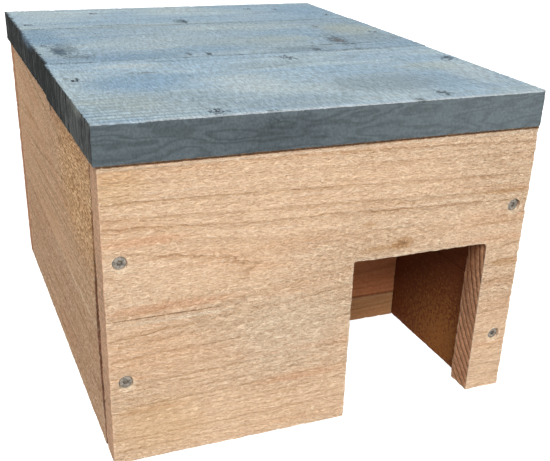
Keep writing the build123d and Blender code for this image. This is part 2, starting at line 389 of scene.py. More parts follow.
class HouseStain(bpy.types.PropertyGroup):
    """Colours of the stained roof."""

    # The top's washes are paler and the long edge darker than the stain alone makes them: painted light from
    # above on the top and painted shade on the edges
    pale: colour_setting("Pale wash", "Where the stain lies thin", (0.612, 0.735, 0.772))
    blue: colour_setting("Blue wash", "Where the stain lies thick", (0.436, 0.6, 0.738))
    edge: colour_setting("Edge", "Stain on the long edges", (0.094, 0.117, 0.13))
    end: colour_setting("End", "Stain soaked into the ends", (0.012, 0.014, 0.014))
    bristle: colour_setting("Bristles", "Paler fibres on the ends", (0.122, 0.13, 0.125))
    rubbed: colour_setting("Rubbed edge", "Edges where the stain is rubbed thin", (0.48, 0.56, 0.6))


class HouseScrews(bpy.types.PropertyGroup):
    """Sizes and colours of the screws."""

    steel: colour_setting("Steel", "Zinc-plated heads", (0.34, 0.3, 0.25))
    sides: IntProperty(name="Sides", description="Faces around a screw", min=8, default=32)
    sink: length_setting("Sink", "Depth of a head below the wood", 0.0004)
    deep_sink: length_setting("Deep sink", "Depth of the heads right of the entrance", 0.0021)
    front_sink: length_setting("Front sink", "Depth of the heads left of the entrance", 0.0014)


class HouseStudio(bpy.types.PropertyGroup):
    """Light, floor and camera."""

    floor: colour_setting("Floor", "Pale floor under the house", (0.5, 0.5, 0.5))
    floor_glow: share_setting("Floor glow", "White that the camera sees on the floor", 0.9)
    sky: share_setting("Sky", "Strength of the light from right above", 0.32)
    horizon: share_setting("Horizon", "Strength of the light from the sides", 0.28)
    key_power: FloatProperty(
        name="Key light", description="Power of the large lamp", unit="POWER", default=1030
    )
    key_size: length_setting("Key size", "Width of the large lamp", 4.5)
    lens: FloatProperty(name="Lens", description="Focal length", unit="CAMERA", default=57.06)
    lens_shift: FloatProperty(name="Shift", description="Upward shift of the view", default=0.108)


class HouseSettings(bpy.types.PropertyGroup):
    """All that a user can change on the house."""

    wood: PointerProperty(type=HouseWood)
    stain: PointerProperty(type=HouseStain)
    screws: PointerProperty(type=HouseScrews)
    studio: PointerProperty(type=HouseStudio)


def settings():
    """The settings of the open scene."""
    return bpy.context.scene.hedgehog_house


# Modelling by hand

def clear_selection():
    """Nothing selected, in object mode."""
    if bpy.context.object and bpy.context.object.mode != "OBJECT":
        bpy.ops.object.mode_set(mode="OBJECT")
    bpy.ops.object.select_all(action="DESELECT")


def select_only(piece):
    """Just this piece selected and active."""
    clear_selection()
    piece.select_set(True)
    bpy.context.view_layer.objects.active = piece


def apply_place(piece):
    """The piece's place goes into its mesh, and its object to the origin."""
    select_only(piece)
    bpy.ops.object.transform_apply(location=True, rotation=True, scale=True)


def add_block(name, low, high):
    """A block between two corners."""
    clear_selection()
    middle = (Vector(low) + Vector(high)) / 2
    bpy.ops.mesh.primitive_cube_add(size=1, location=middle, scale=Vector(high) - Vector(low))
    block = bpy.context.object
    block.name = name
    apply_place(block)
    return block


def start_edit(piece, kind):
    """Edit mode on this piece, picking corners, edges or faces, with none picked."""
    select_only(piece)
    bpy.ops.object.mode_set(mode="EDIT")
    bpy.ops.mesh.select_mode(type=kind)
    bpy.ops.mesh.select_all(action="DESELECT")


def end_edit():
    """Back to object mode."""
    bpy.ops.object.mode_set(mode="OBJECT")


def pick(piece, kind, test):
    """Picks the corners, edges or faces of the piece being edited that pass a test."""
    bpy.ops.mesh.select_all(action="DESELECT")
    mesh = bmesh.from_edit_mesh(piece.data)
    for element in {"VERT": mesh.verts, "EDGE": mesh.edges, "FACE": mesh.faces}[kind]:
        element.select_set(test(element))
    bmesh.update_edit_mesh(piece.data)


def near(a, b, tolerance=0.0002):
    """Whether two measures are the same."""
    return abs(a - b) < tolerance


STRAIGHT = 0.9  # least part of a normal that points one way
CORNER_STEPS = 4


def round_edge(piece, radius, **place):
    """Rounds the edge that lies at two measures."""
    start_edit(piece, "EDGE")
    pick(piece, "EDGE", lambda e: all(near(getattr(v.co, k), at) for v in e.verts for k, at in place.items()))
    bpy.ops.mesh.bevel(offset=radius, segments=CORNER_STEPS)
    end_edit()


def apply_modifier(piece, kind, **values):
    """Adds a modifier with these values and applies it."""
    select_only(piece)
    modifier = piece.modifiers.new(kind.title(), kind)
    for key, value in values.items():
        setattr(modifier, key, value)
    bpy.ops.object.modifier_apply(modifier=modifier.name)


def turned(name, profile, sides):
    """A round piece about Z, pulled down ring by ring through pairs of radius and depth."""
    clear_selection()
    radius, depth = profile[0]
    place = (0, 0, -depth)
    bpy.ops.mesh.primitive_circle_add(vertices=sides, radius=radius, fill_type="NGON", location=place)
    piece = bpy.context.object
    piece.name = name
    apply_place(piece)
    start_edit(piece, "FACE")
    bpy.ops.mesh.select_all(action="SELECT")
    for next_radius, next_depth in profile[1:]:
        bpy.ops.mesh.extrude_region_move(TRANSFORM_OT_translate={"value": (0, 0, depth - next_depth)})
        share = next_radius / radius
        bpy.ops.transform.resize(value=(share, share, 1), center_override=(0, 0, -next_depth))
        radius, depth = next_radius, next_depth
    bpy.ops.mesh.select_all(action="SELECT")
    bpy.ops.mesh.normals_make_consistent(inside=False)
    end_edit()
    return piece


def copy_of(piece, name):
    """A copy with a mesh of its own."""
    copy = piece.copy()
    copy.data = piece.data.copy()
    copy.name = name
    bpy.context.scene.collection.objects.link(copy)
    return copy


def joined(pieces, name):
    """Several pieces made one."""
    clear_selection()
    for piece in pieces:
        piece.select_set(True)
    bpy.context.view_layer.objects.active = pieces[0]
    if len(pieces) > 1:
        bpy.ops.object.join()
    pieces[0].name = name
    return pieces[0]


# Nodes

class Noise(NamedTuple):
    """A cloudy noise, and the two values of it between which a mask made from it rises."""

    waves: tuple  # per metre on each axis
    detail: float = 2.0
    rough: float = 0.5
    distortion: float = 0.0
    span: tuple = (0.0, 1.0)


MIDDLE = 0.5  # of every noise
MIX_SHARE, MIX_FIRST, MIX_SECOND, MIX_RESULT = 0, 6, 7, 2  # sockets of a node that mixes colours


def put(tree, kind, inputs=(), **values):
    """The outputs of a new node. Each input takes a value or a wire from another node."""
    node = tree.nodes.new(kind)
    for key, value in values.items():
        setattr(node, key, value)
    for key, value in dict(inputs).items():
        if isinstance(value, Wire):
            value.to(node.inputs[key])
        else:
            node.inputs[key].default_value = value
    return Wires(tree, node.outputs)


def mix_colours(tree, share, first, second, mode="MIX"):
    """A mix of two colours."""
    first, second = (colour if isinstance(colour, Wire) else (*colour, 1) for colour in (first, second))
    inputs = {MIX_SHARE: share, MIX_FIRST: first, MIX_SECOND: second}
    return put(tree, "ShaderNodeMix", inputs, data_type="RGBA", blend_type=mode)[MIX_RESULT]


class Wires:
    """The outputs of a node, by name or number."""

    def __init__(self, tree, sockets):
        self.tree = tree
        self.sockets = sockets

    def __getitem__(self, key):
        return Wire(self.tree, self.sockets[key])


class Wire:
    """One output of a node. Arithmetic with it puts further nodes into its tree."""

    def __init__(self, tree, socket):
        self.tree = tree
        self.socket = socket

    def to(self, socket):
        """Ties the wire to an input."""
        self.tree.links.new(self.socket, socket)

    def step(self, operation, *values):
        """One step of arithmetic."""
        return put(self.tree, "ShaderNodeMath", enumerate((self, *values)), operation=operation)[0]

    def vector(self, operation, *values, output=0):
        """One step of arithmetic on vectors."""
        return put(self.tree, "ShaderNodeVectorMath", enumerate((self, *values)), operation=operation)[output]

    __add__ = partialmethod(step, "ADD")
    __sub__ = partialmethod(step, "SUBTRACT")
    __mul__ = partialmethod(step, "MULTIPLY")
    __truediv__ = partialmethod(step, "DIVIDE")
    __pow__ = partialmethod(step, "POWER")
    __abs__ = partialmethod(step, "ABSOLUTE")
    most = partialmethod(step, "MAXIMUM")  # the larger of two values
    fit = partialmethod(step, "MULTIPLY_ADD")  # a share of the value, and a rest

    def lifted(self, least):
        """Rises from a least share to one, as the value goes from nought to one."""
        return self.fit(1 - least, least)

    def lacking(self):
        """What the value lacks to one."""
        return self.fit(-1.0, 1.0)

    def ease(self, low, high):
        """Rises smoothly from nought at one value to one at another."""
        inputs = {"Value": self, "From Min": low, "From Max": high}
        return put(self.tree, "ShaderNodeMapRange", inputs, interpolation_type="SMOOTHSTEP")[0]

    def scaled(self, scale):
        """The vector made longer or shorter."""
        return put(self.tree, "ShaderNodeVectorMath", {0: self, "Scale": scale}, operation="SCALE")[0]

    def parts(self):
        """The three parts of the vector."""
        return put(self.tree, "ShaderNodeSeparateXYZ", {0: self})

    def noise(self, kind, output=0):
        """Cloudy noise at this place, from nought to one."""
        inputs = {
            "Vector": self.vector("MULTIPLY", kind.waves),
            "Scale": 1.0,
            "Detail": kind.detail,
            "Roughness": kind.rough,
            "Distortion": kind.distortion,
        }
        return put(self.tree, "ShaderNodeTexNoise", inputs)[output]

    def mask(self, kind):
        """Where a noise is strong."""
        return self.noise(kind).ease(*kind.span)

    def mix(self, first, second):
        """A mix of two colours, with this share of the second."""
        return mix_colours(self.tree, self, first, second)

    def tinted(self, tint, share=1.0):
        """This colour multiplied by another."""
        return mix_colours(self.tree, share, self, tint, "MULTIPLY")

    def group(self, name, **inputs):
        """The outputs of a node group at this place."""
        inputs = {"Place": self, **{key.capitalize(): value for key, value in inputs.items()}}
        return put(self.tree, "ShaderNodeGroup", inputs, node_tree=bpy.data.node_groups[name])


def overlay(colour, *layers):
    """The colour with others laid over it. A layer is a mask, its share and its colour."""
    for mask, share, other in layers:
        colour = (mask * share).mix(colour, other)
    return colour


# Node groups

SOCKETS = {"vector": "NodeSocketVector", "value": "NodeSocketFloat", "shape": "NodeSocketGeometry"}


def new_group(name, kind, inputs, outputs):
    """An empty node group with named sockets: its tree, what it is given and what it gives."""
    group = bpy.data.node_groups.new(name, kind)
    for sockets, way in ((inputs, "INPUT"), (outputs, "OUTPUT")):
        for socket, form in sockets.items():
            group.interface.new_socket(name=socket, in_out=way, socket_type=SOCKETS[form])
    given = put(group, "NodeGroupInput")
    return group, [given[name] for name in inputs], group.nodes.new("NodeGroupOutput").inputs


def give(result, **values):
    """Ties the outputs of a group."""
    for key, value in values.items():
        value.to(result[key.replace("_", " ")])


RING_SWING = Noise((2, 8, 8))
RING_TREMBLE = Noise((22.5, 90, 90), 3.0)
RING_FADE = Noise((9, 36, 36), span=(0.3, 0.6))
BLUSH_BANDS = Noise((6, 60, 60), 3.0, span=(0.5, 0.72))
TREMBLE_SHARE = 0.014
LEAST_SLANT = 0.08
LINE_RISE = 0.002  # length over which a line darkens
LINE_HAZE = 0.007  # length of the haze before it
LINE_FALL = 0.0012  # length over which it ends
HAZE_SHARE = 0.45
GOLDEN_SHARE = 0.618  # spreads strong and weak years evenly
YEAR_CONTRAST = 1.6
LEAST_YEAR = 0.15
LEAST_FADE = 0.4
CROWDING = (-0.8, 1.2)  # lines are weaker where they lie close together on a face
TONE_TURNS = 0.44  # bands of tone per ring
TONE_CONTRAST = 3.3


def make_ring_group():
    """Growth rings about the middle of the tree: their thin dark lines, the tone between them and a blush.

    On a face the rings run out at a slant, so a line's width is measured along the face.
    """
    _, (place, ends, spacing, wander), result = new_group(
        "Growth rings",
        "ShaderNodeTree",
        {"Place": "vector", "Ends": "value", "Spacing": "value", "Wander": "value"},
        dict.fromkeys(("Line", "Tone", "Blush"), "value"),
    )
    swing = place.noise(RING_SWING, "Color").vector("SUBTRACT", (MIDDLE,) * 3)
    _, depth, width = place.vector("ADD", swing.scaled(wander)).parts()
    radius = (depth * depth + width * width).step("SQRT")
    radius = (place.noise(RING_TREMBLE) - MIDDLE).fit(wander * TREMBLE_SHARE, radius)
    slant = abs(width / radius).most(LEAST_SLANT)
    slant = slant.lacking().fit(ends, slant)
    turns = radius / spacing
    ring = turns.step("ROUND")
    past = (turns - ring) * spacing / slant
    rise = past.ease(-LINE_RISE, 0.0).most(past.ease(-LINE_HAZE, 0.0) * HAZE_SHARE)
    fall = past.ease(0.0, LINE_FALL).lacking()
    year = ((ring * GOLDEN_SHARE).step("FRACT") ** YEAR_CONTRAST).lifted(LEAST_YEAR)
    fade = place.mask(RING_FADE).lifted(LEAST_FADE)
    strength = year * fade * (slant - ends).fit(*CROWDING)
    give(
        result,
        Line=rise * fall * strength,
        Tone=(turns * TONE_TURNS).step("FRACT") ** TONE_CONTRAST,
        Blush=place.mask(BLUSH_BANDS),
    )


TORN_REGIONS = Noise((5.2, 13, 13), span=(0.35, 0.65))
FIBRE_WAVES = Noise((290, 640, 640), 4.0, 0.7, 1.6)
FIBRE_HAIRS = Noise((300, 1050, 1050), rough=0.6)
SWELLS = Noise((105, 300, 300), 3.0, 0.6, 0.7)
GRIT = Noise((175, 780, 780), rough=0.6, span=(0.32, 0.68))
PORES = Noise((150, 900, 900), span=(0.56, 0.74))
SCRATCHES = Noise((9, 480, 480), 1.0, span=(0.64, 0.74))
CREASE_WIDTH = 0.05
CREASE_DEPTH = 0.15
LEAST_CREASE = 0.5
HAIR_SHARE = 0.6
FIBRE_MIDDLE = 0.8  # of waves and hairs together
REGION_SWING = (0.4, 0.75)  # torn regions are rougher than the rest
REGION_LIGHTENING = (0.085, 0.515)  # and a little higher, which paints them lighter to even out the shade of their rougher relief
FUZZ_AND_HIGHLIGHT_SPAN = (0.27, 0.42)


def make_fibre_group():
    """Fibres torn by the saw along the grain, with thin creases, coarse grit, pores and scratches."""
    names = ("Height", "Fuzz", "Creases", "Grit", "Pores", "Scratches")
    outputs = dict.fromkeys(names, "value")
    _, (place,), result = new_group("Torn fibres", "ShaderNodeTree", {"Place": "vector"}, outputs)
    region = place.mask(TORN_REGIONS)
    wave = place.noise(FIBRE_WAVES)
    hair = place.noise(FIBRE_HAIRS)
    crease = abs(place.noise(SWELLS) - MIDDLE).ease(0.0, CREASE_WIDTH).lacking()
    crease = crease * region.lifted(LEAST_CREASE)
    swing = (hair.fit(HAIR_SHARE, wave) - FIBRE_MIDDLE) * region.fit(*REGION_SWING)
    give(
        result,
        Height=crease.fit(-CREASE_DEPTH, swing) + region.fit(*REGION_LIGHTENING),
        Fuzz=(wave * hair).ease(*FUZZ_AND_HIGHLIGHT_SPAN),
        Creases=crease,
        Grit=place.mask(GRIT),
        Pores=place.mask(PORES),
        Scratches=place.mask(SCRATCHES),
    )


SPOT_EDGE = Noise((330, 330, 330), 4.0, 0.65)
SPOT_CORE = 0.35  # share of a spot that is whole


def make_spot_group():
    """A spot with a ragged edge, for knots, smears and cracks."""
    _, (place, centre, size, rag), result = new_group(
        "Ragged spot",
        "ShaderNodeTree",
        {"Place": "vector", "Centre": "vector", "Size": "vector", "Rag": "value"},
        {"Mask": "value"},
    )
    distance = place.vector("SUBTRACT", centre).vector("DIVIDE", size).vector("LENGTH", output="Value")
    edge = (place.noise(SPOT_EDGE) - MIDDLE).fit(rag, distance)
    give(result, Mask=edge.ease(SPOT_CORE, 1.0).lacking())


STAIN_PATCHES = Noise((6.4, 16, 16), 3.0)
STAIN_BANDS = Noise((7.8, 130, 130), 3.0, 0.6)
MOTTLE = Noise((585, 450, 135), 3.0, 0.75, span=(0.25, 0.75))
FIGURE = Noise((14, 70, 70), span=(0.1, 0.5))
STREAKS = Noise((16, 260, 260), rough=0.6, span=(0.54, 0.72))
STREAK_REGIONS = Noise((8.8, 22, 22), span=(0.4, 0.65))
SPECKS = Noise((330, 330, 198), span=(0.7, 0.76))
SPECK_CLUSTERS = Noise((30, 30, 30), span=(0.42, 0.56))
SAW_SWAY = Noise((3.6, 60, 60))
BAND_SHARE = 0.6
PALE_SPAN = (0.3, 0.7)
FIGURE_LINES = 8.0
SAW_LINES = 2 * math.pi / 0.0074  # radians per metre of the saw lines' wave
SAW_REACH = 4.0  # radians that a saw line sways
SAW_SPAN = (-0.2, 1.0)


def make_wash_group():
    """A thin stain brushed along a plank: pale patches, mottling, streaks, specks, figure and saw lines."""
    names = ("Pale", "Mottle", "Streaks", "Specks", "Figure", "Saw lines")
    outputs = dict.fromkeys(names, "value")
    _, (place,), result = new_group("Stain wash", "ShaderNodeTree", {"Place": "vector"}, outputs)
    pale = (place.noise(STAIN_BANDS) - MIDDLE).fit(BAND_SHARE, place.noise(STAIN_PATCHES))
    figure = abs((place.noise(FIGURE) * FIGURE_LINES).step("FRACT") - MIDDLE)
    sway = place.noise(SAW_SWAY).fit(SAW_REACH, place.parts()[2] * SAW_LINES)
    give(
        result,
        Pale=pale.ease(*PALE_SPAN),
        Mottle=place.mask(MOTTLE),
        Streaks=place.mask(STREAKS) * place.mask(STREAK_REGIONS),
        Specks=place.mask(SPECKS) * place.mask(SPECK_CLUSTERS),
        Figure=figure.ease(*FIGURE.span),
        Saw_lines=sway.step("SINE").ease(*SAW_SPAN),
    )


RIPPLES = Noise((80, 240, 240), rough=0.55, span=(0.25, 0.75))  # waves along the grain and across it
CHIPS = Noise((190, 190, 190), 3.0, 0.6, span=(0.5, 0.7))
EDGE_BLUR = 2
EDGE_SPAN = (0.03, 0.3)  # blurred angles of an edge, from whole to worn
LEAST_CHIP = 0.15
END_CHIPS = (0.5, 0.6)  # chips go deeper on the ends of a board


def make_rough_group():
    """A mesh roughened inwards: ripples along the grain, and chips along its edges."""
    numbers = dict.fromkeys(("Seed", "Ripple", "Chips"), "value")
    tree, (shape, stretch, grain, seed, ripple_height, chip_depth), result = new_group(
        "Rough sawn",
        "GeometryNodeTree",
        {"Shape": "shape", "Stretch": "vector", "Grain": "vector", **numbers},
        {"Shape": "shape"},
    )
    place = put(tree, "GeometryNodeInputPosition")[0]
    normal = put(tree, "GeometryNodeInputNormal")[0]
    angle = put(tree, "GeometryNodeInputMeshEdgeAngle")["Signed Angle"]
    inputs = {"Value": angle, "Iterations": EDGE_BLUR}
    worn = put(tree, "GeometryNodeBlurAttribute", inputs, data_type="FLOAT")[0].ease(*EDGE_SPAN)
    inputs = {"Geometry": shape, "Name": "wear", "Value": worn}
    kept = put(tree, "GeometryNodeStoreNamedAttribute", inputs, data_type="FLOAT", domain="POINT")[0]
    moved = place.vector("ADD", put(tree, "ShaderNodeCombineXYZ", {0: seed})[0])
    ripple = moved.mask(RIPPLES._replace(waves=stretch))
    along = abs(normal.vector("DOT_PRODUCT", grain, output="Value"))
    chips = worn * moved.mask(CHIPS).lifted(LEAST_CHIP) * along.fit(*END_CHIPS) * chip_depth
    depth = ripple.lacking() * ripple_height + chips
    inputs = {"Geometry": kept, "Offset": normal.scaled(depth * -1.0)}
    give(result, Shape=put(tree, "GeometryNodeSetPosition", inputs)[0])


# Materials

def new_material(name, roughness):
    """A material with its own node tree and shader."""
    material = bpy.data.materials.new(name)
    material.use_nodes = True
    shader = material.node_tree.nodes["Principled BSDF"]
    shader.inputs["Roughness"].default_value = roughness
    return material, material.node_tree, shader


END_SPAN = (0.55, 0.85)  # of the normal along the grain


def board_places(tree, cut, node):
    """Object coordinates, and the same turned along the grain and measured from the middle of the tree."""
    coordinates = put(tree, "ShaderNodeTexCoord")
    low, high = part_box(node)
    middle = (low + high) / 2
    order = ["XYZ".index(axis) for axis in cut.axes]
    parts = coordinates["Object"].parts()
    along, depth, width = (parts[i] for i in order)
    depth = along.fit(cut.lean, depth - (middle[order[1]] + cut.pith[0]))
    width = width - (middle[order[2]] + cut.pith[1])
    grain = put(tree, "ShaderNodeCombineXYZ", {0: along + float(cut.seed), 1: depth, 2: width})[0]
    facing = coordinates["Normal"].parts()
    ends = abs(facing[order[0]]).ease(*END_SPAN)
    return coordinates["Object"], grain, facing, ends


RING_WANDER = 0.012  # how far the rings stray from round


def board_rings(grain, ends):
    """The growth rings of a board."""
    return grain.group("Growth rings", ends=ends, spacing=settings().wood.ring_spacing, wander=RING_WANDER)


def spot(place, mark):
    """Where a mark lies, from nought to one."""
    return place.group("Ragged spot", centre=mark.centre, size=mark.size, rag=mark.rag)["Mask"]


def add_marks(colour, place, marks):
    """The colour with the board's knots, smears and cracks laid over it."""
    return overlay(colour, *((spot(place, mark), mark.strength, mark.colour) for mark in marks))


def add_bump(shader, height, distance):
    """A fine relief that is too small for the mesh."""
    inputs = {"Height": height, "Strength": 1.0, "Distance": distance}
    put(height.tree, "ShaderNodeBump", inputs)[0].to(shader.inputs["Normal"])


WARM_SHADE = (0.66, 0.98, 1.2)  # painted shade in the hollows of bare wood, and its darker grains, lose less red than blue
PLAIN_SHADE = (1.0, 1.0, 1.0)
LEAST_SHADE = 0.2


def shade(value, spread, shares=WARM_SHADE):
    """A shade about one, this much darker and paler as the value goes from nought to one."""
    swing = (value - MIDDLE) * (spread * 2.0)
    parts = [swing.fit(share, 1.0).most(LEAST_SHADE) for share in shares]
    return put(value.tree, "ShaderNodeCombineColor", enumerate(parts))[0]


def worn_edges(tree):
    """The mask of rubbed edges that the mesh carries."""
    return put(tree, "ShaderNodeAttribute", attribute_name="wear")["Fac"]


TORN_ENDS = Noise((330, 110, 400), 4.0, 0.75, span=(0.42, 0.56))
END_BANDS = 0.95
END_LINES = 0.35
LINE_GROOVE = 0.15


def raw_wood(node, cut):
    """Untreated rough-sawn wood: rings, blush, torn fibres and rubbed edges, with painted shade in the
    creases and hollows of the fibres and painted highlight on their crests.
    """
    wood = settings().wood
    material, tree, shader = new_material(f"raw_wood_{node}", roughness=0.85)
    place, grain, _, ends = board_places(tree, cut, node)
    rings = board_rings(grain, ends)
    fibres = grain.group("Torn fibres")
    face = overlay(
        wood.early,
        (rings["Blush"], 0.6, wood.blush),
        (rings["Tone"], 0.15, wood.late),
        (rings["Line"], 0.9, wood.late),
        (fibres["Pores"], 0.15, wood.late),
        # Creases darkened as painted shade; crests made pale, partly loose fibres and partly painted
        # highlight
        (fibres["Creases"], 0.24, wood.late),
        (fibres["Fuzz"].most(fibres["Scratches"]), 0.35, wood.fuzz_and_highlight),
    )
    bands = rings["Tone"].fit(END_BANDS, rings["Line"] * END_LINES)
    colour = ends.mix(face, bands.mix(wood.end_early, wood.end_late).tinted(cut.end_tint))
    colour = overlay(colour, (worn_edges(tree), 0.3, wood.fuzz_and_highlight))
    colour = add_marks(colour, place, cut.marks)
    colour = overlay(colour, (place.mask(TORN_ENDS) * ends, 0.26, wood.end_late))
    grit = cut.grit
    if cut.rough:
        grit = spot(place, cut.rough).fit(cut.rough.strength, cut.grit)
    # Painted shade in the hollows of the torn fibres and painted highlight on their crests, then darker and
    # paler coarse grains
    colour = colour.tinted(shade(fibres["Height"], cut.relief_shade_and_mottle)).tinted(shade(fibres["Grit"], grit))
    colour.tinted(cut.tint).to(shader.inputs["Base Color"])
    shader.inputs["Specular IOR Level"].default_value = 0.12
    groove = rings["Line"].fit(-LINE_GROOVE, fibres["Height"])
    add_bump(shader, groove, wood.fibre_height * cut.ripple)
    return material


FLAT_SPAN = (0.5, 0.85)  # of the upward normal
SAWN_ALONG = (-0.04, -0.15)  # the saw lines are strongest at the left front corner
SAWN_ACROSS = (-0.13, -0.19)
SAWN_SHARE = (0.36, 0.02)
LIGHTER_ALONG = (-0.05, 0.15)  # the front edge is lighter towards the right
LIGHTER_SHARE = (0.07, 0.04)
FRINGE = Noise((90, 200, 90), 4.0, 0.7, span=(0.25, 0.42))
FRINGE_ACROSS = (-0.14, 0.0)  # the dark end reaches farther over the top at the back
FRINGE_REACH = (0.009, 0.003)
BRISTLES = Noise((110, 190, 40), 5.0, 0.75, span=(0.46, 0.62))
DRY_ACROSS = (-0.06, -0.19)  # the ends have more bristles at the front
DRY_SHARE = (0.13, -0.05)
RUBBED_BACK, RUBBED_FRONT = 0.0015, -0.001  # from the front of the walls
RUBBED_SPAN = (0.25, 0.5)
LEAST_MOTTLE = 0.6
LEAST_RELIEF = 0.25
STREAK_GROOVE = 0.3


def stained_wood(node, cut):
    """Planks under a thin blue-grey stain, pale on top and dark where it soaked into edges and ends; the top
    is also painted lighter as light from above, and the long edges darker as painted shade.
    """
    stain = settings().stain
    material, tree, shader = new_material(f"stained_wood_{node}", roughness=0.75)
    place, grain, facing, ends = board_places(tree, cut, node)
    x, y, _ = place.parts()
    rings = board_rings(grain, ends)
    fibres = grain.group("Torn fibres")
    wash = grain.group("Stain wash")
    flat = abs(facing[2]).ease(*FLAT_SPAN)

    sawn = x.ease(*SAWN_ALONG) * y.ease(*SAWN_ACROSS)
    low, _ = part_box(node)
    fringe = place.noise(FRINGE) - (x - low.x) / y.ease(*FRINGE_ACROSS).fit(*FRINGE_REACH)
    top = overlay(
        wash["Pale"].mix(stain.blue, stain.pale),
        (rings["Line"], 0.35, stain.edge),
        (wash["Streaks"], 0.25, stain.edge),
        (wash["Saw lines"], sawn.fit(*SAWN_SHARE), stain.edge),
        (fibres["Scratches"], 0.3, stain.rubbed),
        (worn_edges(tree), 0.12, stain.edge),
        (wash["Specks"], 0.6, stain.end),
        (fringe.ease(*FRINGE.span), 0.85, stain.end),
    )
    # The long edges darker than the top: partly stain soaked into them, partly painted shade
    side = overlay(stain.edge, (wash["Figure"], 0.38, stain.end))
    side = x.ease(*LIGHTER_ALONG).fit(*LIGHTER_SHARE).mix(side, stain.pale)
    bristles = place.noise(BRISTLES) + y.ease(*DRY_ACROSS).fit(*DRY_SHARE)
    end = bristles.ease(*BRISTLES.span).mix(stain.end, stain.bristle)
    colour = add_marks(ends.mix(flat.mix(side, top), end), place, cut.marks)

    front = y.ease(FRONT_FACE + RUBBED_BACK, FRONT_FACE + RUBBED_FRONT)
    rubbed = front * facing[2].ease(*RUBBED_SPAN) * worn_edges(tree)
    colour = overlay(colour, (rubbed, 0.8, stain.rubbed))
    mottle = shade(wash["Mottle"], cut.relief_shade_and_mottle, PLAIN_SHADE)
    colour = colour.tinted(mottle, flat.lifted(LEAST_MOTTLE))
    colour.tinted(cut.tint).to(shader.inputs["Base Color"])
    shader.inputs["Specular IOR Level"].default_value = 0.03
    groove = wash["Streaks"].fit(-STREAK_GROOVE, fibres["Height"] + wash["Mottle"])
    add_bump(shader, groove * flat.lifted(LEAST_RELIEF), settings().wood.fibre_height * cut.ripple)
    return material


STEEL_CLOUDS = Noise((520, 520, 520), 3.0, span=(0.35, 0.65))
STEEL_SPECKS = Noise((260, 260, 260), 3.0, 0.7, span=(0.43, 0.58))
# painted shade in the recess of a screw's head
RECESS_SHADE = (0.09, 0.07, 0.045)
DULL_SHARE = 0.4
CLOUDED_ROUGHNESS = (0.25, 0.3)


def zinc_steel(name, colour):
    """Zinc-plated steel with a cloudy shine and painted shade in the recess."""
    material, tree, shader = new_material(name, roughness=0.35)
    clouds = put(tree, "ShaderNodeTexCoord")["Object"].mask(STEEL_CLOUDS)
    dull = tuple(channel * DULL_SHARE for channel in colour)
    recess = put(tree, "ShaderNodeAttribute", attribute_name="recess")["Fac"]
    overlay(clouds.mix(dull, colour), (recess, 0.4, RECESS_SHADE)).to(shader.inputs["Base Color"])
    clouds.fit(*CLOUDED_ROUGHNESS).to(shader.inputs["Roughness"])
    shader.inputs["Metallic"].default_value = 0.5
    return material


def stained_steel(name):
    """Screw heads under the stain of the roof, with dark specks where dirt sits in them."""
    material, tree, shader = new_material(name, roughness=0.8)
    specks = put(tree, "ShaderNodeTexCoord")["Object"].mask(STEEL_SPECKS)
    specks.mix(STAIN_GREY, settings().stain.end).to(shader.inputs["Base Color"])
    shader.inputs["Specular IOR Level"].default_value = 0.2
    return material


def paint(piece, material):
    """The piece shows this material alone."""
    piece.data.materials.clear()
    piece.data.materials.append(material)


# Boards

def screw_head(node):
    """The middle of a screw's head, and the way it faces."""
    low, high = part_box(node)
    facing = Vector(SCREW_FACINGS[node.split("_")[0]])
    half = (high - low) / 2
    return (low + high) / 2 + Vector(a * b for a, b in zip(half, facing)), facing


def screw_sizes(node):
    """The radius of a screw's head and its length."""
    low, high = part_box(node)
    sides = sorted(high - low)
    return sides[0] / 2, sides[2]


def screw_sink(node):
    """How deep a screw's head sits in the wood."""
    screws = settings().screws
    if node.startswith("front_screw_right"):
        return screws.deep_sink
    return screws.front_sink if node.startswith("front_screw_left") else screws.sink


def stand_at(piece, head, facing):
    """Turns a piece made about Z to face out of the wood at a screw's head."""
    piece.rotation_mode = "QUATERNION"
    piece.rotation_quaternion = Vector((0, 0, 1)).rotation_difference(facing)
    piece.location = head
    apply_place(piece)


HOLE_CLEARANCE = 0.0002
HOLE_OVERRUN = 0.004
SHANK_SHARE = 0.5


def screw_hole(node):
    """The hole of a screw: a countersink and a bore, starting above the wood."""
    radius, length = screw_sizes(node)
    radius += HOLE_CLEARANCE
    shank = radius * SHANK_SHARE
    sink = screw_sink(node)
    profile = [
        (radius, -HOLE_OVERRUN),
        (radius, sink + HOLE_CLEARANCE),
        (shank, sink + HOLE_CLEARANCE + radius - shank),
        (shank, sink + length),
    ]
    hole = turned(f"hole_{node}", profile, settings().screws.sides)
    head, facing = screw_head(node)
    stand_at(hole, head + facing * settings().screws.sink, facing)
    return hole


def boxes_meet(first, second):
    """Whether two boxes overlap."""
    return all(first[0][i] < second[1][i] and second[0][i] < first[1][i] for i in range(3))


def drill(piece, node):
    """Cuts the holes of the screws that pass through a board."""
    holes = [screw_hole(name) for name in SCREW_NODES if boxes_meet(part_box(name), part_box(node))]
    if not holes:
        return
    cutter = joined(holes, "cutter")
    apply_modifier(piece, "BOOLEAN", operation="DIFFERENCE", object=cutter, solver="EXACT")
    bpy.data.objects.remove(cutter)


OCTREE_DEPTH = 9
BOARD_EDGE = math.radians(50)  # sharpest angle that is shaded smooth


